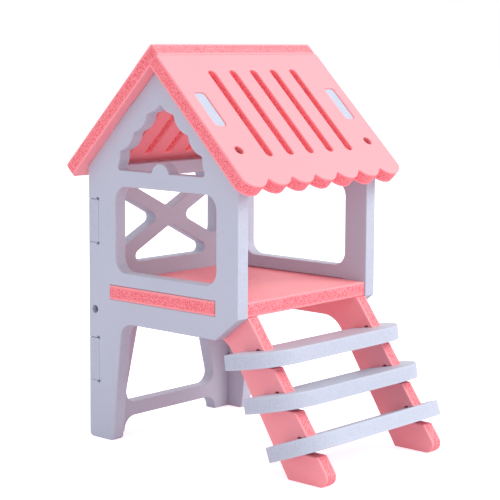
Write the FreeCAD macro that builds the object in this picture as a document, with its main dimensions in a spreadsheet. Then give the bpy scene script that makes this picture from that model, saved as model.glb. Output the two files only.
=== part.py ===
import FreeCAD, Part
import math
import os
import Sketcher

# A small pet house of slotted sheet boards. It stands on two rear legs, on the feet of its back panel
# and on the foot of a ladder. X runs along the ridge, +Y points to the back, Z is up.
# Lengths are in millimetres. House coordinates have Y = 0 at the gables' front edge and Z = 0 at the feet.

SIZES = {
    # the box of the house
    "board": 5.0,
    "house_width": 72.0,
    "house_depth": 71.0,
    "apex_height": 131.6,
    "roof_pitch": 45.0,
    "slot_play": 0.1,
    # gables
    "apron_height": 42.3,
    "chamfer_length": 10.0,
    "chamfer_height": 7.9,
    "leg_top_width": 16.6,
    "leg_foot_width": 11.9,
    "leg_top_radius": 5.0,
    "foot_radius": 1.5,
    "window_front": 9.7,
    "window_rear": 57.4,
    "window_bottom": 60.0,
    "window_top": 89.9,
    "window_radius": 5.0,
    # the fir-tree opening under the ridge
    "tree_base": 95.5,
    "tree_half_base": 21.6,
    "tree_half_first": 19.5,
    "tree_first_rise": 6.7,
    "tree_step": 6.65,
    "tree_rise": 23.3,
    "tree_arc": 8.0,
    "tree_tip_radius": 1.0,
    "tree_corner_radius": 1.2,
    "bump_half_width": 4.1,
    "bump_arc": 4.2,
    # floor
    "floor_top": 55.2,
    "floor_front": 0.7,
    "tenon_front": 10.3,
    "tenon_rear": 60.2,
    # back panel
    "tab_low": 20.6,
    "tab_high": 69.6,
    "tab_length": 15.0,
    "tab_relief_radius": 0.7,
    "tab_relief_offset": 0.35,
    "brace_centre": 76.1,
    "brace_half_width": 24.2,
    "brace_angle": 26.8,
    "brace_arm": 5.1,
    "brace_radius": 2.0,
    "bay_top": 42.3,
    "bay_bottom": 10.1,
    "bay_half_top": 15.8,
    "bay_half_bottom": 23.9,
    "bay_radius": 4.2,
    "rail_bottom": 5.1,
    "back_foot_width": 7.3,
    "back_cove_radius": 5.0,
    # roof
    "roof_front_overhang": 5.0,
    "roof_back_overhang": 4.2,
    "roof_front_length": 58.0,
    "roof_back_length": 55.6,
    "roof_corner_radius": 1.5,
    "eave_arc": 6.6,
    "eave_cusp_radius": 0.8,
    "roof_tenon_start": 17.0,
    "roof_tenon_length": 15.0,
    "roof_tenon_recess": 0.5,
    "roof_tenon_radius": 1.4,
    "vent_pitch": 10.4,
    "vent_width": 3.3,
    "vent_start": 7.4,
    "vent_end": 46.1,
    # ladder
    "stringer_arm": 7.7,
    "ladder_front_run": 36.3,
    "ladder_foot_width": 18.9,
    "ladder_rear_top": 9.8,
    "ladder_bend_radius": 10.0,
    "ladder_toe_radius": 3.0,
    "tread_half_length": 40.7,
    "tread_depth": 17.5,
    "tread_radius": 17.3,
    "tread_lap": 5.8,
    "notch_relief_radius": 0.9,
    "notch_relief_offset": 0.3,
    "top_tread_y": -16.35,
    "top_tread_z": 36.85,
    "top_tread_tilt": 8.5,
    "middle_tread_y": -24.75,
    "middle_tread_z": 24.65,
    "middle_tread_tilt": 11.0,
    "bottom_tread_y": -34.5,
    "bottom_tread_z": 13.45,
    "bottom_tread_tilt": 20.0,
    # screws, sunk well below the faces; each ends above the bottom of its pilot hole
    "roof_screw_place": 42.5,
    "roof_hole_radius": 1.7,
    "roof_head_radius": 1.6,
    "side_screw_inset": 3.0,
    "side_screw_z": 45.8,
    "side_hole_radius": 1.4,
    "side_head_radius": 1.3,
    "sink_depth": 3.0,
    "head_height": 1.0,
    "pilot_radius": 0.9,
    "shank_radius": 0.85,
    "pilot_depth": 8.0,
    "pilot_overrun": 1.0,
    "screw_end_gap": 1.0,
}

TREADS = ("top", "middle", "bottom")
VENT_COUNT = 5
EAVE_LOBES = 7
TREE_TIPS = 3
SAME_POINT = 1e-3

# Expressions that several boards share.
COS = "cos(size.roof_pitch * 1deg)"
SIN = "sin(size.roof_pitch * 1deg)"
RIDGE = "(size.house_depth / 2)"
EAVE = f"(size.apex_height - size.house_depth / 2 * {SIN} / {COS})"
INNER = "(size.house_width / 2 - size.board)"
OUTER = "(size.house_width / 2)"
BACK_FACE = "(size.house_depth - size.board)"
FLOOR_BOTTOM = "(size.floor_top - size.board)"
FRONT_HALF = "(size.house_width / 2 + size.roof_front_overhang)"
BACK_HALF = "(size.house_width / 2 + size.roof_back_overhang)"
SIDE_SCREW_Y = "(size.house_depth - size.side_screw_inset)"
REAR_REACH = f"({RIDGE} + size.roof_back_length * {COS} + size.board * {SIN})"
SHIFT = f"(-({REAR_REACH} + size.bottom_tread_y) / 2)"

doc = FreeCAD.newDocument("hamster_house")
size = doc.addObject("Spreadsheet::Sheet", "size")
for row, (name, value) in enumerate(SIZES.items(), start=1):
    size.set(f"A{row}", name)
    size.set(f"B{row}", str(value))
    size.setAlias(f"B{row}", name)
doc.recompute()


def number(expression):
    """Value of an expression over the sheet."""
    return float(size.evalExpression(str(expression)))


def point(pair):
    return FreeCAD.Vector(number(pair[0]), number(pair[1]), 0)


def new_body(label, plane):
    """A body for one board, and the origin plane its sketches lie on."""
    body = doc.addObject("PartDesign::Body", label)
    body.Label = label
    found = [o for o in body.Origin.OriginFeatures if o.Role == plane]
    return body, found[0]


def new_sketch(body, plane, name):
    sketch = body.newObject("Sketcher::SketchObject", name)
    sketch.AttachmentSupport = [(plane, "")]
    sketch.MapMode = "FlatFace"
    return sketch


def fix_point(sketch, line, end, pair):
    """Place one end of a curve by two distances from the sketch origin."""
    for kind, expression in zip(("DistanceX", "DistanceY"), pair):
        index = sketch.addConstraint(Sketcher.Constraint(kind, -1, 1, line, end, number(expression)))
        sketch.setExpression(f"Constraints[{index}]", str(expression))


def arc_through(start, end, radius, side):
    """Short arc from start to end. Side +1 puts its centre left of the direction of travel."""
    middle = (start + end) / 2
    along = end - start
    half = along.Length / 2
    along.normalize()
    left = FreeCAD.Vector(-along.y, along.x, 0)
    reach = math.sqrt(max(radius * radius - half * half, 0))
    centre = middle + left * (side * reach)
    top = centre - left * (side * radius)
    return Part.Arc(start, top, end)


def outline(sketch, corners):
    """Closed outline. A corner is (u, v), or (u, v, radius, side) where an arc leads to the next one."""
    spots = [point(c) for c in corners]
    curves = []
    for i, corner in enumerate(corners):
        start, end = spots[i], spots[(i + 1) % len(corners)]
        first, last = 1, 2
        if len(corner) == 2:
            line = sketch.addGeometry(Part.LineSegment(start, end), False)
        else:
            line = sketch.addGeometry(arc_through(start, end, number(corner[2]), corner[3]), False)
            if sketch.getPoint(line, 1).distanceToPoint(start) > SAME_POINT:
                first, last = 2, 1
            fix_radius(sketch, line, corner[2])
        fix_point(sketch, line, first, corner[:2])
        curves.append((line, first, last))
    for (line, _, last), (following, first, _) in zip(curves, curves[1:] + curves[:1]):
        sketch.addConstraint(Sketcher.Constraint("Coincident", line, last, following, first))


def fix_radius(sketch, line, radius):
    index = sketch.addConstraint(Sketcher.Constraint("Radius", line, number(radius)))
    sketch.setExpression(f"Constraints[{index}]", str(radius))


def round_slot(sketch, u, low, high, width):
    """Slot along v with round ends, from the lowest to the highest point of its outline."""
    radius = f"{width} / 2"
    r = number(radius)
    bottom = point((u, f"{low} + {radius}"))
    top = point((u, f"{high} - {radius}"))
    normal = FreeCAD.Vector(0, 0, 1)
    aside = FreeCAD.Vector(r, 0, 0)
    cap = sketch.addGeometry(Part.ArcOfCircle(Part.Circle(top, normal, r), 0, math.pi), False)
    cup = sketch.addGeometry(Part.ArcOfCircle(Part.Circle(bottom, normal, r), math.pi, 2 * math.pi), False)
    left = sketch.addGeometry(Part.LineSegment(top - aside, bottom - aside), False)
    right = sketch.addGeometry(Part.LineSegment(bottom + aside, top + aside), False)
    for one, one_end, other, other_end in ((cap, 2, left, 1), (left, 2, cup, 1), (cup, 2, right, 1),
                                           (right, 2, cap, 1)):
        sketch.addConstraint(Sketcher.Constraint("Tangent", one, one_end, other, other_end))
    fix_point(sketch, cap, 3, (u, f"{high} - {radius}"))
    fix_point(sketch, cup, 3, (u, f"{low} + {radius}"))
    fix_radius(sketch, cap, radius)


def circle(sketch, centre, radius):
    ring = Part.Circle(point(centre), FreeCAD.Vector(0, 0, 1), number(radius))
    line = sketch.addGeometry(ring, False)
    fix_point(sketch, line, 3, centre)
    fix_radius(sketch, line, radius)


def pad(body, sketch, length="size.board"):
    feature = body.newObject("PartDesign::Pad", sketch.Name + "_pad")
    feature.Profile = sketch
    feature.setExpression("Length", length)
    sketch.Visibility = False
    doc.recompute()
    return feature


def pocket(body, sketch):
    """Cut a sketch right through its board, in whichever direction the board lies."""
    before = body.Shape.Volume
    feature = body.newObject("PartDesign::Pocket", sketch.Name + "_pocket")
    feature.Profile = sketch
    feature.Type = "ThroughAll"
    feature.Midplane = True
    sketch.Visibility = False
    doc.recompute()
    if body.Shape.Volume >= before - SAME_POINT:
        raise RuntimeError(sketch.Name + " cuts nothing")
    return feature


def round_corners(body, name, axis, spots, radius):
    """Fillet the through-thickness edges that stand on the given points of the board's plane."""
    tip = body.Tip
    wanted = [point(s) for s in spots]
    names = []
    for i, edge in enumerate(tip.Shape.Edges, start=1):
        if len(edge.Vertexes) != 2:
            continue
        flat = [flatten(v.Point, axis) for v in edge.Vertexes]
        if flat[0].distanceToPoint(flat[1]) > SAME_POINT:
            continue
        if any(flat[0].distanceToPoint(w) < SAME_POINT for w in wanted):
            names.append(f"Edge{i}")
    if len(names) < len(wanted):
        raise RuntimeError(f"{name} finds {len(names)} of {len(wanted)} corners")
    fillet = body.newObject("PartDesign::Fillet", name)
    fillet.Base = (tip, names)
    fillet.setExpression("Radius", radius)
    doc.recompute()
    return fillet


def flatten(p, axis):
    """Coordinates of a point in the sketch plane whose normal is the given axis."""
    if axis == "x":
        return FreeCAD.Vector(p.y, p.z, 0)
    if axis == "y":
        return FreeCAD.Vector(p.x, p.z, 0)
    return FreeCAD.Vector(p.x, p.y, 0)


def bore(body, name, radius, depth, base, turn):
    """Round hole from a point, along local Z turned by an axis and an angle."""
    hole = body.newObject("PartDesign::SubtractiveCylinder", name)
    hole.setExpression("Radius", radius)
    hole.setExpression("Height", depth)
    aim(hole, base, turn)
    doc.recompute()
    return hole


def aim(thing, base, turn):
    """Bind a placement to expressions: three coordinates, an axis and an angle in degrees."""
    axis, angle = turn
    thing.Placement = FreeCAD.Placement(FreeCAD.Vector(), FreeCAD.Rotation(axis, number(angle)))
    for letter, expression in zip("xyz", base):
        thing.setExpression(f"Placement.Base.{letter}", str(expression))
    thing.setExpression("Placement.Rotation.Angle", f"{angle} * 1deg")


def set_down(thing, x="0", y="0", z="0", tilt="0"):
    """Put a finished board in the object's frame, whose origin is under the middle of the whole."""
    aim(thing, (x, f"{y} + {SHIFT}", z), (FreeCAD.Vector(1, 0, 0), tilt))


def rectangle(u0, v0, u1, v1):
    return [(u0, v0), (u1, v0), (u1, v1), (u0, v1)]


def mirrored(points):
    """Points right of the axis, followed by their mirror images in reverse order."""
    return points + [(f"-({u})", v) for u, v in reversed(points)]


def on_slope(side, down, out):
    """Point of a gable at a distance down one slope from the apex and a distance out of it."""
    y = f"{RIDGE} + {side} * (({down}) * {COS} + ({out}) * {SIN})"
    z = f"size.apex_height - ({down}) * {SIN} + ({out}) * {COS}"
    return y, z


def slope_tenon(side):
    start = "size.roof_tenon_start + size.slot_play"
    end = "size.roof_tenon_start + size.roof_tenon_length - size.slot_play"
    out = "size.board - size.roof_tenon_recess"
    return [on_slope(side, end, "0"), on_slope(side, end, out),
            on_slope(side, start, out), on_slope(side, start, "0")]


def tree_side(side):
    """Corners of the fir-tree opening on one side, from its base to its top tip."""
    corners = [("size.tree_half_base", "size.tree_base")]
    for i in range(TREE_TIPS):
        corners.append((f"size.tree_half_first - {i} * size.tree_step",
                        f"size.tree_base + size.tree_first_rise + {i} * size.tree_step"))
    return [(f"{RIDGE} + {side} * ({u})", v) for u, v in corners]


def cut_tree(body, plane, label):
    """The opening's steps are arcs that bulge into it, and a round bump stands on its base."""
    rear, front = tree_side(1), tree_side(-1)
    apex = (RIDGE, "size.tree_base + size.tree_rise")
    steps = [(u, v, "size.tree_arc", -1) for u, v in rear]
    steps.append((*apex, "size.tree_arc", -1))
    steps += [(u, v, "size.tree_arc", -1) for u, v in reversed(front[1:])]
    steps.append(front[0])
    bump_front = (f"{RIDGE} - size.bump_half_width", "size.tree_base")
    bump_rear = (f"{RIDGE} + size.bump_half_width", "size.tree_base")
    steps += [(*bump_front, "size.bump_arc", -1), bump_rear]
    sketch = new_sketch(body, plane, label + "_tree")
    outline(sketch, steps)
    pocket(body, sketch)
    round_corners(body, label + "_tree_corners", "x", [rear[0], front[0]], "size.tree_corner_radius")
    round_corners(body, label + "_tree_tips", "x", rear[1:] + front[1:] + [apex], "size.tree_tip_radius")


def cut_tab_notches(body, plane, label):
    """Notches in the rear edge for the back panel's tabs, with a round relief in each inner corner."""
    for place in ("low", "high"):
        low = f"size.tab_{place} - size.slot_play"
        high = f"size.tab_{place} + size.tab_length + size.slot_play"
        notch = new_sketch(body, plane, f"{label}_{place}_notch")
        outline(notch, rectangle(BACK_FACE, low, "size.house_depth + size.board", high))
        pocket(body, notch)
        relief = new_sketch(body, plane, f"{label}_{place}_relief")
        for level in (low, high):
            circle(relief, (f"{BACK_FACE} + size.tab_relief_offset", level), "size.tab_relief_radius")
        pocket(body, relief)


def gable_outline():
    corners = [("size.house_depth - size.leg_foot_width", "0"), ("size.house_depth", "0"),
               ("size.house_depth", EAVE)]
    corners += slope_tenon(1)
    corners.append((RIDGE, "size.apex_height"))
    corners += reversed(slope_tenon(-1))
    corners += [("0", EAVE), ("0", "size.apron_height + size.chamfer_height"),
                ("size.chamfer_length", "size.apron_height"),
                ("size.house_depth - size.leg_top_width", "size.apron_height")]
    return corners


def build_gable(label, side):
    """End wall. Side is -1 for the left and +1 for the right; only the rear corner has a leg."""
    body, plane = new_body(label, "YZ_Plane")
    wall = new_sketch(body, plane, label + "_wall")
    corners = gable_outline()
    outline(wall, corners)
    pad(body, wall)
    round_corners(body, label + "_leg_top", "x", [corners[-1]], "size.leg_top_radius")
    round_corners(body, label + "_foot", "x", corners[:2], "size.foot_radius")
    round_tenons(body, label)
    window = rectangle("size.window_front", "size.window_bottom", "size.window_rear", "size.window_top")
    sketch = new_sketch(body, plane, label + "_window")
    outline(sketch, window)
    pocket(body, sketch)
    round_corners(body, label + "_window_corners", "x", window, "size.window_radius")
    slot = rectangle("size.tenon_front - size.slot_play", FLOOR_BOTTOM,
                     "size.tenon_rear + size.slot_play", "size.floor_top + size.slot_play")
    sketch = new_sketch(body, plane, label + "_floor_slot")
    outline(sketch, slot)
    pocket(body, sketch)
    cut_tab_notches(body, plane, label)
    cut_tree(body, plane, label)
    bore_gable(body, label, side)
    left_face = f"-{OUTER}" if side < 0 else INNER
    set_down(body, x=left_face)
    return body


def round_tenons(body, label):
    """Round the roof tenons' long corners, which go into the round corners of the roof's slots."""
    tip = body.Tip
    sides = []
    for side in (-1, 1):
        far_base, far_top, near_top, near_base = (point(c) for c in slope_tenon(side))
        sides += [(far_base, far_top), (near_base, near_top)]
    names = []
    for i, edge in enumerate(tip.Shape.Edges, start=1):
        if len(edge.Vertexes) != 2:
            continue
        one, other = (flatten(v.Point, "x") for v in edge.Vertexes)
        for base, top in sides:
            gap = min(one.distanceToPoint(base) + other.distanceToPoint(top),
                      one.distanceToPoint(top) + other.distanceToPoint(base))
            if gap < SAME_POINT:
                names.append(f"Edge{i}")
    fillet = body.newObject("PartDesign::Fillet", label + "_tenon_corners")
    fillet.Base = (tip, names)
    fillet.setExpression("Radius", "size.roof_tenon_radius")
    doc.recompute()


def bore_gable(body, label, side):
    """Pilot holes for the roof screws in both slopes, and the sunk hole of the side screw."""
    for name, way in (("front", -1), ("rear", 1)):
        y, z = on_slope(way, "size.roof_screw_place", "-size.pilot_depth")
        turn = (FreeCAD.Vector(1, 0, 0), f"{-way} * (90 - size.roof_pitch)")
        bore(body, f"{label}_{name}_pilot", "size.pilot_radius", "size.pilot_depth + size.pilot_overrun",
             ("size.board / 2", y, z), turn)
    across = (FreeCAD.Vector(0, 1, 0), "90")
    place = (SIDE_SCREW_Y, "size.side_screw_z")
    bore(body, label + "_side_pilot", "size.pilot_radius", "size.board", ("0", *place), across)
    mouth = "0" if side < 0 else "size.board - size.sink_depth"
    bore(body, label + "_side_sink", "size.side_hole_radius", "size.sink_depth", (mouth, *place), across)


def brace_triangles():
    """Four openings that leave a crossed brace: top, bottom, rear and front of the crossing."""
    cosine = "cos(size.brace_angle * 1deg)"
    slope = "tan(size.brace_angle * 1deg)"
    half_arm = f"(size.brace_arm / 2 / {cosine})"
    wide = "size.brace_half_width"
    middle = "size.brace_centre"
    rise = f"({wide} * {slope})"
    triangles = []
    for way in ("+", "-"):
        edge = f"{middle} {way} ({rise} + {half_arm})"
        triangles.append([(wide, edge), (f"-{wide}", edge), ("0", f"{middle} {way} {half_arm}")])
    for way in ("", "-"):
        side = f"{way}{wide}"
        tip = f"{way}({half_arm} / {slope})"
        triangles.append([(side, f"{middle} - {rise} + {half_arm}"), (side, f"{middle} + {rise} - {half_arm}"),
                          (tip, middle)])
    return triangles


def build_back_panel():
    """Rear wall: feet and foot rail below, tabs at both sides, a crossed window above the floor."""
    label = "back_panel"
    body, plane = new_body(label, "XZ_Plane")
    foot = f"({INNER} - size.back_foot_width)"
    right = [(foot, "size.rail_bottom"), (foot, "0"), (INNER, "0")]
    for place in ("low", "high"):
        right += [(INNER, f"size.tab_{place}"), (OUTER, f"size.tab_{place}"),
                  (OUTER, f"size.tab_{place} + size.tab_length"), (INNER, f"size.tab_{place} + size.tab_length")]
    right.append((INNER, EAVE))
    corners = mirrored(right)
    wall = new_sketch(body, plane, label + "_wall")
    outline(wall, corners)
    pad(body, wall)
    round_corners(body, label + "_coves", "y", [corners[0], corners[-1]], "size.back_cove_radius")
    bay = mirrored([("size.bay_half_bottom", "size.bay_bottom"), ("size.bay_half_top", "size.bay_top")])
    sketch = new_sketch(body, plane, label + "_bay")
    outline(sketch, bay)
    pocket(body, sketch)
    round_corners(body, label + "_bay_corners", "y", bay, "size.bay_radius")
    for i, triangle in enumerate(brace_triangles()):
        sketch = new_sketch(body, plane, f"{label}_brace_{i + 1}")
        outline(sketch, triangle)
        pocket(body, sketch)
        round_corners(body, f"{label}_brace_corners_{i + 1}", "y", triangle, "size.brace_radius")
    for name, way, start in (("left", -1, f"-{INNER}"), ("right", 1, f"{INNER} - size.pilot_depth")):
        bore(body, f"{label}_{name}_pilot", "size.pilot_radius", "size.pilot_depth",
             (start, "-size.side_screw_inset", "size.side_screw_z"),
             (FreeCAD.Vector(0, 1, 0), "90"))
    set_down(body, y="size.house_depth")
    return body


def build_floor():
    """Cabin floor between the gables, with one long tenon through each of them."""
    label = "floor_panel"
    body, plane = new_body(label, "XY_Plane")
    right = [(INNER, "size.floor_front"), (INNER, "size.tenon_front"), (OUTER, "size.tenon_front"),
             (OUTER, "size.tenon_rear"), (INNER, "size.tenon_rear"), (INNER, BACK_FACE)]
    sketch = new_sketch(body, plane, label + "_outline")
    outline(sketch, mirrored(right))
    pad(body, sketch)
    set_down(body, z=FLOOR_BOTTOM)
    return body


def cut_roof(body, plane, label, way):
    """Vents, tenon slots and sunk screw holes of one roof half. Way is +1 where Y runs down the slope."""
    vents = new_sketch(body, plane, label + "_vents")
    low, high = ("size.vent_start", "size.vent_end") if way > 0 else ("-size.vent_end", "-size.vent_start")
    for i in range(VENT_COUNT):
        middle = f"{i - (VENT_COUNT - 1) / 2} * size.vent_pitch"
        round_slot(vents, middle, low, high, "size.vent_width")
    pocket(body, vents)
    slots = new_sketch(body, plane, label + "_slots")
    slot_corners = []
    near = f"{way} * size.roof_tenon_start"
    far = f"{way} * (size.roof_tenon_start + size.roof_tenon_length)"
    for side in (-1, 1):
        inner = f"{side} * ({INNER} - size.slot_play / 2)"
        outer = f"{side} * ({OUTER} + size.slot_play / 2)"
        slot = rectangle(inner, near, outer, far)
        outline(slots, slot)
        slot_corners += slot
    pocket(body, slots)
    round_corners(body, label + "_slot_corners", "z", slot_corners, "size.roof_tenon_radius")
    straight = (FreeCAD.Vector(0, 0, 1), "0")
    for name, side in (("left", -1), ("right", 1)):
        place = (f"{side} * ({OUTER} - size.board / 2)", f"{way} * size.roof_screw_place")
        bore(body, f"{label}_{name}_pilot", "size.pilot_radius", "size.board", (*place, "0"), straight)
        bore(body, f"{label}_{name}_sink", "size.roof_hole_radius", "size.sink_depth",
             (*place, "size.board - size.sink_depth"), straight)


def build_roof_front():
    """Front roof half: it butts under the rear half and ends in a row of round lobes."""
    label = "roof_front"
    body, plane = new_body(label, "XY_Plane")
    sketch = new_sketch(body, plane, label + "_board")
    lobe = f"(2 * {FRONT_HALF} / {EAVE_LOBES})"
    lobe_drop = f"(size.eave_arc - sqrt(pow(size.eave_arc; 2) - pow({lobe} / 2; 2)))"
    cusp = f"-(size.roof_front_length - {lobe_drop})"
    corners = [(FRONT_HALF, "0"), (f"-{FRONT_HALF}", "0")]
    cusps = [(f"-{FRONT_HALF} + {i} * {lobe}", cusp) for i in range(EAVE_LOBES + 1)]
    corners += [(u, v, "size.eave_arc", 1) for u, v in cusps[:-1]]
    corners.append(cusps[-1])
    outline(sketch, corners)
    pad(body, sketch)
    round_corners(body, label + "_cusps", "z", cusps[1:-1], "size.eave_cusp_radius")
    round_corners(body, label + "_corners", "z", [cusps[0], cusps[-1]], "size.roof_corner_radius")
    cut_roof(body, plane, label, -1)
    set_down(body, y=RIDGE, z="size.apex_height", tilt="size.roof_pitch")
    return body


def build_roof_back():
    """Rear roof half: its square upper end laps the front half and shows as the ridge."""
    label = "roof_back"
    body, plane = new_body(label, "XY_Plane")
    sketch = new_sketch(body, plane, label + "_board")
    corners = rectangle(f"-{BACK_HALF}", "-size.board", BACK_HALF, "size.roof_back_length")
    outline(sketch, corners)
    pad(body, sketch)
    round_corners(body, label + "_corners", "z", corners[2:], "size.roof_corner_radius")
    cut_roof(body, plane, label, 1)
    set_down(body, y=RIDGE, z="size.apex_height", tilt="-size.roof_pitch")
    return body


def tread_point(name, depth, up):
    """House coordinates of a point of a tread: a depth behind its front edge and a height above its base."""
    tilt = f"(size.{name}_tread_tilt * 1deg)"
    y = f"size.{name}_tread_y + ({depth}) * cos({tilt}) + ({up}) * sin({tilt})"
    z = f"size.{name}_tread_z - ({depth}) * sin({tilt}) + ({up}) * cos({tilt})"
    return y, z


NOTCH_BOTTOM = "size.tread_depth - size.tread_lap"


def cut_tread_notch(body, plane, label, name):
    """Notch for one tread: the lower lip is level, so a wedge stays open under the tilted tread."""
    inner_low = tread_point(name, NOTCH_BOTTOM, "0")
    inner_high = tread_point(name, NOTCH_BOTTOM, "size.board")
    mouth_high = tread_point(name, "-size.board", "size.board")
    mouth_low = (f"{inner_low[0]} - size.tread_depth - size.board", inner_low[1])
    notch = new_sketch(body, plane, f"{label}_{name}_notch")
    outline(notch, [mouth_low, inner_low, inner_high, mouth_high])
    pocket(body, notch)
    relief = new_sketch(body, plane, f"{label}_{name}_relief")
    centre = tread_point(name, f"{NOTCH_BOTTOM} - size.notch_relief_offset",
                         "size.board - size.notch_relief_offset")
    circle(relief, centre, "size.notch_relief_radius")
    pocket(body, relief)


def build_stringer(label, side):
    """Ladder side: a sloping strip with a foot, and an arm that runs back under the floor."""
    body, plane = new_body(label, "YZ_Plane")
    low = f"({FLOOR_BOTTOM} - size.stringer_arm)"
    toe = ("-size.ladder_front_run", "0")
    bend = ("size.ladder_rear_top", low)
    corners = [toe, ("size.ladder_foot_width - size.ladder_front_run", "0"), bend,
               (BACK_FACE, low), (BACK_FACE, FLOOR_BOTTOM), ("0", FLOOR_BOTTOM)]
    sketch = new_sketch(body, plane, label + "_side")
    outline(sketch, corners)
    pad(body, sketch)
    round_corners(body, label + "_toe", "x", [toe], "size.ladder_toe_radius")
    round_corners(body, label + "_bend", "x", [bend], "size.ladder_bend_radius")
    for name in TREADS:
        cut_tread_notch(body, plane, label, name)
    left_face = f"-{INNER}" if side < 0 else f"{INNER} - size.board"
    set_down(body, x=left_face)
    return body


def build_tread(name):
    """Tread with round front corners. Two slots from its rear edge cross the stringers."""
    label = "tread_" + name
    body, plane = new_body(label, "XY_Plane")
    front = [("-size.tread_half_length", "0"), ("size.tread_half_length", "0")]
    corners = front + [("size.tread_half_length", "size.tread_depth"),
                       ("-size.tread_half_length", "size.tread_depth")]
    sketch = new_sketch(body, plane, label + "_board")
    outline(sketch, corners)
    pad(body, sketch)
    round_corners(body, label + "_nose", "z", front, "size.tread_radius")
    slots = new_sketch(body, plane, label + "_slots")
    for side in (-1, 1):
        inner = f"{side} * ({INNER} - size.board - size.slot_play / 2)"
        outer = f"{side} * ({INNER} + size.slot_play / 2)"
        outline(slots, rectangle(inner, NOTCH_BOTTOM, outer, "size.tread_depth + size.board"))
    pocket(body, slots)
    set_down(body, y=f"size.{name}_tread_y", z=f"size.{name}_tread_z", tilt=f"-size.{name}_tread_tilt")
    return body


def build_screw(name, head_radius, base, turn):
    """Small screw, from its shank's end along local Z up to its flat head."""
    shank_length = "(size.board - size.sink_depth + size.pilot_depth - size.screw_end_gap)"
    shank = doc.addObject("Part::Cylinder", name + "_shank")
    shank.setExpression("Radius", "size.shank_radius")
    shank.setExpression("Height", shank_length)
    head = doc.addObject("Part::Cylinder", name + "_head")
    head.setExpression("Radius", head_radius)
    head.setExpression("Height", "size.head_height")
    head.setExpression("Placement.Base.z", shank_length)
    screw = doc.addObject("Part::MultiFuse", name)
    screw.Shapes = [shank, head]
    aim(screw, (base[0], f"{base[1]} + {SHIFT}", base[2]), turn)
    return screw


def build_roof_screws():
    """Four screws through the roof halves into the gables' sloping edges."""
    screws = []
    for end, way in (("front", -1), ("rear", 1)):
        y, z = on_slope(way, "size.roof_screw_place", "size.screw_end_gap - size.pilot_depth")
        turn = (FreeCAD.Vector(1, 0, 0), f"{-way} * (90 - size.roof_pitch)")
        for hand, side in (("left", -1), ("right", 1)):
            x = f"{side} * ({OUTER} - size.board / 2)"
            screws.append(build_screw(f"roof_screw_{end}_{hand}", "size.roof_head_radius", (x, y, z), turn))
    return group_screws("roof_screws", screws)


def build_side_screws():
    """Two screws through the gables into the back panel's side edges."""
    screws = []
    for hand, side in (("left", -1), ("right", 1)):
        x = f"{side} * ({INNER} - size.pilot_depth + size.screw_end_gap)"
        turn = (FreeCAD.Vector(0, 1, 0), f"{side} * 90")
        place = (x, SIDE_SCREW_Y, "size.side_screw_z")
        screws.append(build_screw("side_screw_" + hand, "size.side_head_radius", place, turn))
    return group_screws("side_screws", screws)


def group_screws(label, screws):
    group = doc.addObject("Part::Compound", label)
    group.Label = label
    group.Links = screws
    doc.recompute()
    return group


nodes = [
    build_gable("gable_left", -1),
    build_gable("gable_right", 1),
    build_back_panel(),
    build_floor(),
    build_roof_front(),
    build_roof_back(),
    build_stringer("stringer_left", -1),
    build_stringer("stringer_right", 1),
    *[build_tread(name) for name in TREADS],
    build_roof_screws(),
    build_side_screws(),
]
doc.recompute()

for thing in doc.Objects:
    if "Invalid" in thing.State or "Error" in thing.State:
        raise RuntimeError(f"{thing.Name} is in state {thing.State}")
os.makedirs("parts", exist_ok=True)
for node in nodes:
    if node.Shape.isNull() or not node.Shape.isValid():
        raise RuntimeError(node.Label + " has no valid shape")
    node.Shape.exportStep(f"parts/{node.Label}.step")
    box = node.Shape.BoundBox
    print(f"{node.Label:16s} {len(node.Shape.Solids)} solids, volume {node.Shape.Volume:9.1f},"
          f" X {box.XMin:6.1f} {box.XMax:6.1f}  Y {box.YMin:6.1f} {box.YMax:6.1f}"
          f"  Z {box.ZMin:6.1f} {box.ZMax:6.1f}")
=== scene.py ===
import math

import bmesh
import bpy
from mathutils import Matrix, Vector


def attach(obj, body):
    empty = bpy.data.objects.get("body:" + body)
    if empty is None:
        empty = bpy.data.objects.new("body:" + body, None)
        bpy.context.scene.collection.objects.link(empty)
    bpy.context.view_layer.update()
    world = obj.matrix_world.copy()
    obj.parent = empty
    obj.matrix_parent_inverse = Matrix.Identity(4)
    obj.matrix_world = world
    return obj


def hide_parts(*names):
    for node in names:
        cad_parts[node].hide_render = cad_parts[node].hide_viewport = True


# Looks of a small pet house of slotted sheet boards: pink roof, floor and ladder sides, white walls and
# treads. Lengths are in metres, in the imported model's frame.

MM = 0.001


def srgb(red, green, blue):
    """Linear colour from 0 to 255 display values."""
    shares = (c / 255 for c in (red, green, blue))
    return (*(c / 12.92 if c <= 0.04045 else ((c + 0.055) / 1.055) ** 2.4 for c in shares), 1.0)


PINK_BOARDS = ("floor_panel", "roof_front", "roof_back", "stringer_left", "stringer_right")
TREADS = ("tread_top", "tread_middle", "tread_bottom")
WHITE_BOARDS = ("gable_left", "gable_right", "back_panel", *TREADS)
SCREWS = ("roof_screws", "side_screws")

# Board meshes. A tread's side edge is only 0.2 mm long, so the treads' rims are eased less.
EASE = 0.32 * MM
TREAD_EASE = 0.16 * MM
EASE_STEPS = 2
SAME_POINT = 0.001 * MM
FLAT_ANGLE = math.radians(0.6)
RIM_ANGLE = math.radians(30)
SMOOTH_ANGLE = math.radians(35)

# Cosine between a face's normal and the direction across its board: over the first value the face is one of
# the two large ones, over the second it looks like skin, and under the third it is a cut edge.
LARGE_COSINE = 0.999
SKIN_COSINE = 0.35
CUT_COSINE = 0.05

# A direction that no board lies along, to tell a normal from its opposite.
SKEW = Vector((0.3, 0.5, 0.8))

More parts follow.
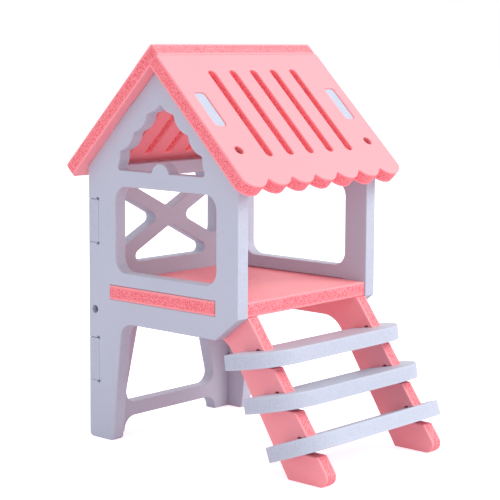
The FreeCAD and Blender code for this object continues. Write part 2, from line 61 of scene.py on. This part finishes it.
# The photograph's camera, found by fitting the boards' edges. Angles are in degrees, lens and sensor in mm.
CAMERA_PLACE = Vector((-397.57, -352.24, 139.51)) * MM
CAMERA_AZIMUTH = -48.03
CAMERA_PITCH = 6.28
CAMERA_ROLL = 0.26
CAMERA_LENS = 111.05
CAMERA_SENSOR = 36
CAMERA_SHIFT = (0.0, -0.0774)
CAMERA_CLIP = (0.01, 50)

PINK_SKIN = srgb(255, 158, 164)
PINK_CORE = srgb(252, 136, 143)
PINK_SPECK = srgb(226, 76, 90)
WHITE_SKIN = srgb(187, 195, 209)
WHITE_CORE = WHITE_SKIN
WHITE_SPECK = srgb(174, 182, 198)
STEEL_DARK = srgb(120, 120, 124)
STEEL_LIGHT = srgb(176, 176, 180)

# Surface detail. Scales are in noise cells per metre. A range is the stretch of a value that is spread over
# 0 to 1.
BUMP_HEIGHT = 0.1 * MM

# The boards' faces.
CLOUD_SCALE = 45
CLOUD_RANGE = (0.35, 0.65)
CLOUD_SHADE = 0.975
PIT_SCALE = 1400
PIT_RANGE = (0.70, 0.76)
PIT_SHADE = 0.9
GLOSS_SCALE = 300
GLOSS_RANGE = (0.3, 0.7)
FACE_ROUGHNESS = (0.40, 0.50)
PEEL_SCALE = 900
PEEL_BUMP = 0.05

# The boards' cut edges. The skin's range runs from the board's middle at 0 to its face at 1. PINK_MARKS and
# WHITE_MARKS are how much of the skin's colour the saw marks lay over the core.
GRAIN_SCALE = 2800
GRAIN_RANGE = (0.49, 0.56)
CHIP_SCALE = 2200
CHIP_RANGE = (0.56, 0.62)
MARK_SCALE = 1100
MARK_RANGE = (0.40, 0.75)
PINK_MARKS = 0.15
WHITE_MARKS = 0.5
SKIN_RANGE = (0.60, 0.84)
GRIT_SCALE = 2600
EDGE_BUMP = 0.15
EDGE_ROUGHNESS = 0.62

# The screws.
STEEL_SCALE = 900
STEEL_ROUGHNESS = 0.42

# Light: a soft sky, a key lamp from the front right and weaker lamps from the left and from behind.
# Each lamp has its place, its size, its power in watts and its colour.
LAMPS = {
    "key": ((0.55, -1.05, 1.05), 0.9, 15.0, (1.0, 0.985, 0.97)),
    "fill": ((-1.3, -0.5, 0.55), 1.0, 0.6, (0.93, 0.95, 1.0)),
    "rear": ((0.5, 1.2, 0.9), 1.0, 4.5, (1.0, 1.0, 1.0)),
}
LAMP_TARGET = Vector((0, 0, 0.07))
SKY_COLOUR = (0.92, 0.95, 1.0, 1)
SKY_LEVEL = 0.90
WHITE_LIGHT = (1, 1, 1, 1)
DIFFUSE_BOUNCES = 8
FLOOR_SIZE = 12
FLOOR_TINTS = (srgb(246, 229, 235), srgb(249, 232, 238))
FLOOR_TINT_SCALE = 3
FLOOR_ROUGHNESS = 0.9
FLOOR_GLOW = 0.62

# Sockets of the mix node in its colour mode.
MIX_SHARE = 0
MIX_COLOURS = (6, 7)
MIX_RESULT = 2


def add_camera():
    data = bpy.data.cameras.new("camera")
    data.sensor_width = CAMERA_SENSOR
    data.lens = CAMERA_LENS
    data.shift_x, data.shift_y = CAMERA_SHIFT
    data.clip_start, data.clip_end = CAMERA_CLIP
    camera = bpy.data.objects.new("camera", data)
    bpy.context.scene.collection.objects.link(camera)
    azimuth, pitch, roll = (math.radians(v) for v in (CAMERA_AZIMUTH, CAMERA_PITCH, CAMERA_ROLL))
    reach = math.cos(pitch)
    ahead = Vector((-math.sin(azimuth) * reach, math.cos(azimuth) * reach, -math.sin(pitch)))
    level = Vector((math.cos(azimuth), math.sin(azimuth), 0))
    up = level.cross(ahead)
    right = level * math.cos(roll) + up * math.sin(roll)
    top = up * math.cos(roll) - level * math.sin(roll)
    turn = Matrix((right, top, -ahead)).transposed().to_4x4()
    camera.matrix_world = Matrix.Translation(CAMERA_PLACE) @ turn
    bpy.context.scene.camera = camera


class Nodes:
    """Short way to add and join the nodes of a material or a world."""

    def __init__(self, owner):
        self.owner = owner
        owner.use_nodes = True
        self.tree = owner.node_tree
        self.shader = self.tree.nodes.get("Principled BSDF")

    def add(self, kind, **settings):
        node = self.tree.nodes.new(kind)
        for key, value in settings.items():
            setattr(node, key, value)
        return node

    def join(self, output, target):
        self.tree.links.new(output, target)

    def noise(self, vector, scale, detail=2):
        node = self.add("ShaderNodeTexNoise")
        node.inputs["Scale"].default_value = scale
        node.inputs["Detail"].default_value = detail
        self.join(vector, node.inputs["Vector"])
        return node.outputs["Fac"]

    def spread(self, value, start, end=(0, 1)):
        """Map a value from one range to another, clamped."""
        node = self.add("ShaderNodeMapRange")
        for key, number in zip(("From Min", "From Max", "To Min", "To Max"), (*start, *end)):
            node.inputs[key].default_value = number
        self.join(value, node.inputs["Value"])
        return node.outputs["Result"]

    def blend(self, share, first, second):
        """Colour mixed from first to second, each a colour or another node's output."""
        node = self.add("ShaderNodeMix", data_type="RGBA")
        self.join(share, node.inputs[MIX_SHARE])
        for socket, value in zip(MIX_COLOURS, (first, second)):
            if isinstance(value, tuple):
                node.inputs[socket].default_value = value
            else:
                self.join(value, node.inputs[socket])
        return node.outputs[MIX_RESULT]

    def bump(self, height, strength):
        node = self.add("ShaderNodeBump")
        node.inputs["Strength"].default_value = strength
        node.inputs["Distance"].default_value = BUMP_HEIGHT
        self.join(height, node.inputs["Height"])
        self.join(node.outputs["Normal"], self.shader.inputs["Normal"])

    def attribute(self, name):
        return self.add("ShaderNodeAttribute", attribute_name=name)

    def place(self):
        return self.add("ShaderNodeTexCoord").outputs["Object"]


def darker(colour, share):
    return (*(c * share for c in colour[:3]), 1.0)


def face_material(name, skin):
    """Smooth satin sheet: faint clouding, scattered fine pits and a very slight orange peel."""
    n = Nodes(bpy.data.materials.new(name))
    place = n.place()
    clouds = n.spread(n.noise(place, CLOUD_SCALE, detail=3), CLOUD_RANGE)
    colour = n.blend(clouds, darker(skin, CLOUD_SHADE), skin)
    pits = n.spread(n.noise(place, PIT_SCALE, detail=1), PIT_RANGE)
    colour = n.blend(pits, colour, darker(skin, PIT_SHADE))
    n.join(colour, n.shader.inputs["Base Color"])
    gloss = n.spread(n.noise(place, GLOSS_SCALE), GLOSS_RANGE, FACE_ROUGHNESS)
    n.join(gloss, n.shader.inputs["Roughness"])
    n.bump(n.noise(place, PEEL_SCALE, detail=3), PEEL_BUMP)
    return n.owner


def edge_material(name, skin, core, speck, mark_share):
    """Cut edge: a core with dark grains and pale chips between two skins, and saw marks across the board."""
    n = Nodes(bpy.data.materials.new(name))
    place = n.place()
    flat = n.attribute("flat").outputs["Vector"]
    across = n.attribute("across").outputs["Fac"]
    off_centre = n.add("ShaderNodeMath", operation="ABSOLUTE")
    n.join(across, off_centre.inputs[0])
    grains = n.spread(n.noise(place, GRAIN_SCALE), GRAIN_RANGE)
    colour = n.blend(grains, core, speck)
    chips = n.spread(n.noise(place, CHIP_SCALE), CHIP_RANGE)
    colour = n.blend(chips, colour, skin)
    marks = n.spread(n.noise(flat, MARK_SCALE), MARK_RANGE, (0, mark_share))
    colour = n.blend(marks, colour, skin)
    skins = n.spread(off_centre.outputs[0], SKIN_RANGE)
    colour = n.blend(skins, colour, skin)
    n.join(colour, n.shader.inputs["Base Color"])
    n.shader.inputs["Roughness"].default_value = EDGE_ROUGHNESS
    height = n.add("ShaderNodeMath", operation="ADD")
    n.join(n.noise(flat, MARK_SCALE), height.inputs[0])
    n.join(n.noise(place, GRIT_SCALE), height.inputs[1])
    n.bump(height.outputs[0], EDGE_BUMP)
    return n.owner


def steel_material():
    n = Nodes(bpy.data.materials.new("screw_steel"))
    n.shader.inputs["Metallic"].default_value = 1.0
    colour = n.blend(n.noise(n.place(), STEEL_SCALE), STEEL_DARK, STEEL_LIGHT)
    n.join(colour, n.shader.inputs["Base Color"])
    n.shader.inputs["Roughness"].default_value = STEEL_ROUGHNESS
    return n.owner


def board_axis(bm):
    """Direction across a board, which is the normal of its two large faces."""
    areas = {}
    for face in bm.faces:
        normal = face.normal
        if normal.dot(SKEW) < 0:
            normal = -normal
        key = tuple(round(c, 2) for c in normal)
        known = areas.setdefault(key, [0.0, normal.copy()])
        known[0] += face.calc_area()
    return max(areas.values(), key=lambda entry: entry[0])[1]


def find_rims(bm, axis):
    """Edges where one of the two large faces meets a cut edge, and not a fillet that runs into it."""
    rims = []
    for edge in bm.edges:
        if len(edge.link_faces) != 2:
            continue
        large = [abs(face.normal.dot(axis)) > LARGE_COSINE for face in edge.link_faces]
        if large[0] != large[1] and edge.calc_face_angle(0.0) > RIM_ANGLE:
            rims.append(edge)
    return rims


def board_mesh(source, ease):
    """The node's solid with clean faces and eased rims, as a bmesh, and the direction across it."""
    bm = bmesh.new()
    bm.from_mesh(source.data)
    bmesh.ops.remove_doubles(bm, verts=bm.verts, dist=SAME_POINT)
    bmesh.ops.dissolve_limit(bm, angle_limit=FLAT_ANGLE, verts=bm.verts, edges=bm.edges)
    axis = board_axis(bm)
    bmesh.ops.bevel(bm, geom=find_rims(bm, axis), offset=ease, offset_type="OFFSET", segments=EASE_STEPS,
                    profile=0.5, affect="EDGES", clamp_overlap=False, miter_outer="SHARP",
                    miter_inner="SHARP")
    bmesh.ops.recalc_face_normals(bm, faces=bm.faces)
    return bm, axis


def mark_faces(bm, axis):
    """Shade cut edges smooth, though not across corners. Material 0 is the faces', 1 the cut edges'."""
    for face in bm.faces:
        lean = abs(face.normal.dot(axis))
        face.smooth = lean < CUT_COSINE
        face.material_index = 0 if lean > SKIN_COSINE else 1
    for edge in bm.edges:
        even = all(face.smooth for face in edge.link_faces)
        edge.smooth = even and edge.calc_face_angle(0.0) < SMOOTH_ANGLE


def write_board_coordinates(mesh, axis):
    """Per point: place across the board from -1 to 1, and the place in the board's own plane."""
    heights = [v.co.dot(axis) for v in mesh.vertices]
    middle = (max(heights) + min(heights)) / 2
    half = (max(heights) - min(heights)) / 2
    across = mesh.attributes.new("across", "FLOAT", "POINT")
    flat = mesh.attributes.new("flat", "FLOAT_VECTOR", "POINT")
    for i, vertex in enumerate(mesh.vertices):
        across.data[i].value = (heights[i] - middle) / half
        flat.data[i].vector = vertex.co - axis * heights[i]


def dress_board(name, materials):
    """A new piece in the node's place, with one material on its faces and one on its cut edges."""
    ease = TREAD_EASE if name in TREADS else EASE
    bm, axis = board_mesh(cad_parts[name], ease)
    mark_faces(bm, axis)
    mesh = bpy.data.meshes.new(name + "_board")
    bm.to_mesh(mesh)
    bm.free()
    for material in materials:
        mesh.materials.append(material)
    write_board_coordinates(mesh, axis)
    piece = bpy.data.objects.new(name + "_board", mesh)
    bpy.context.scene.collection.objects.link(piece)
    weigh = piece.modifiers.new("even_normals", "WEIGHTED_NORMAL")
    weigh.keep_sharp = True
    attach(piece, "root")
    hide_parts(name)


def add_boards():
    pink = (face_material("pink_face", PINK_SKIN),
            edge_material("pink_edge", PINK_SKIN, PINK_CORE, PINK_SPECK, PINK_MARKS))
    white = (face_material("white_face", WHITE_SKIN),
             edge_material("white_edge", WHITE_SKIN, WHITE_CORE, WHITE_SPECK, WHITE_MARKS))
    for name in PINK_BOARDS:
        dress_board(name, pink)
    for name in WHITE_BOARDS:
        dress_board(name, white)


def dress_screws():
    steel = steel_material()
    for name in SCREWS:
        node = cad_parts[name]
        node.data.materials.clear()
        node.data.materials.append(steel)


def add_floor():
    """Pale, faintly pink floor. To the camera alone it also glows white, so that little but shadow shows."""
    bpy.ops.mesh.primitive_plane_add(size=FLOOR_SIZE, location=(0, 0, 0))
    floor = bpy.context.object
    floor.name = "floor"
    n = Nodes(bpy.data.materials.new("floor_white"))
    tint = n.blend(n.noise(n.place(), FLOOR_TINT_SCALE), *FLOOR_TINTS)
    n.join(tint, n.shader.inputs["Base Color"])
    n.shader.inputs["Roughness"].default_value = FLOOR_ROUGHNESS
    glow = n.add("ShaderNodeEmission")
    glow.inputs["Color"].default_value = WHITE_LIGHT
    path = n.add("ShaderNodeLightPath")
    share = n.add("ShaderNodeMath", operation="MULTIPLY")
    share.inputs[1].default_value = FLOOR_GLOW
    n.join(path.outputs["Is Camera Ray"], share.inputs[0])
    n.join(share.outputs[0], glow.inputs["Strength"])
    both = n.add("ShaderNodeAddShader")
    n.join(n.shader.outputs[0], both.inputs[0])
    n.join(glow.outputs[0], both.inputs[1])
    n.join(both.outputs[0], n.tree.nodes["Material Output"].inputs["Surface"])
    floor.data.materials.append(n.owner)


def add_world():
    """White to the camera and in reflections; a soft cool light to everything else."""
    world = bpy.data.worlds.new("studio")
    bpy.context.scene.world = world
    n = Nodes(world)
    soft = n.tree.nodes["Background"]
    soft.inputs["Color"].default_value = SKY_COLOUR
    soft.inputs["Strength"].default_value = SKY_LEVEL
    white = n.add("ShaderNodeBackground")
    white.inputs["Color"].default_value = WHITE_LIGHT
    white.inputs["Strength"].default_value = 1.0
    path = n.add("ShaderNodeLightPath")
    seen = n.add("ShaderNodeMath", operation="MAXIMUM")
    n.join(path.outputs["Is Camera Ray"], seen.inputs[0])
    n.join(path.outputs["Is Glossy Ray"], seen.inputs[1])
    mix = n.add("ShaderNodeMixShader")
    n.join(seen.outputs[0], mix.inputs[0])
    n.join(soft.outputs[0], mix.inputs[1])
    n.join(white.outputs[0], mix.inputs[2])
    n.join(mix.outputs[0], n.tree.nodes["World Output"].inputs["Surface"])


def add_lamp(name, place, size, power, colour):
    data = bpy.data.lights.new(name, "AREA")
    data.size = size
    data.energy = power
    data.color = colour
    lamp = bpy.data.objects.new(name, data)
    bpy.context.scene.collection.objects.link(lamp)
    lamp.location = place
    aim = LAMP_TARGET - Vector(place)
    lamp.rotation_mode = "QUATERNION"
    lamp.rotation_quaternion = aim.to_track_quat("-Z", "Y")


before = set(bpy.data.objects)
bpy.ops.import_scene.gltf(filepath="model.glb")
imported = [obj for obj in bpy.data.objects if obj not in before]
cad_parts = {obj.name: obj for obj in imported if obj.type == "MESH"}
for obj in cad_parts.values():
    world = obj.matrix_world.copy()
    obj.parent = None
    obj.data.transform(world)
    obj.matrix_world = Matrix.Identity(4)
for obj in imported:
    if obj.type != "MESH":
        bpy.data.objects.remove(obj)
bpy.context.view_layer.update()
bpy.context.scene.view_settings.view_transform = "Standard"
bpy.context.scene.cycles.diffuse_bounces = DIFFUSE_BOUNCES
add_camera()
add_floor()
add_world()
for name, settings in LAMPS.items():
    add_lamp(name, *settings)
add_boards()
dress_screws()
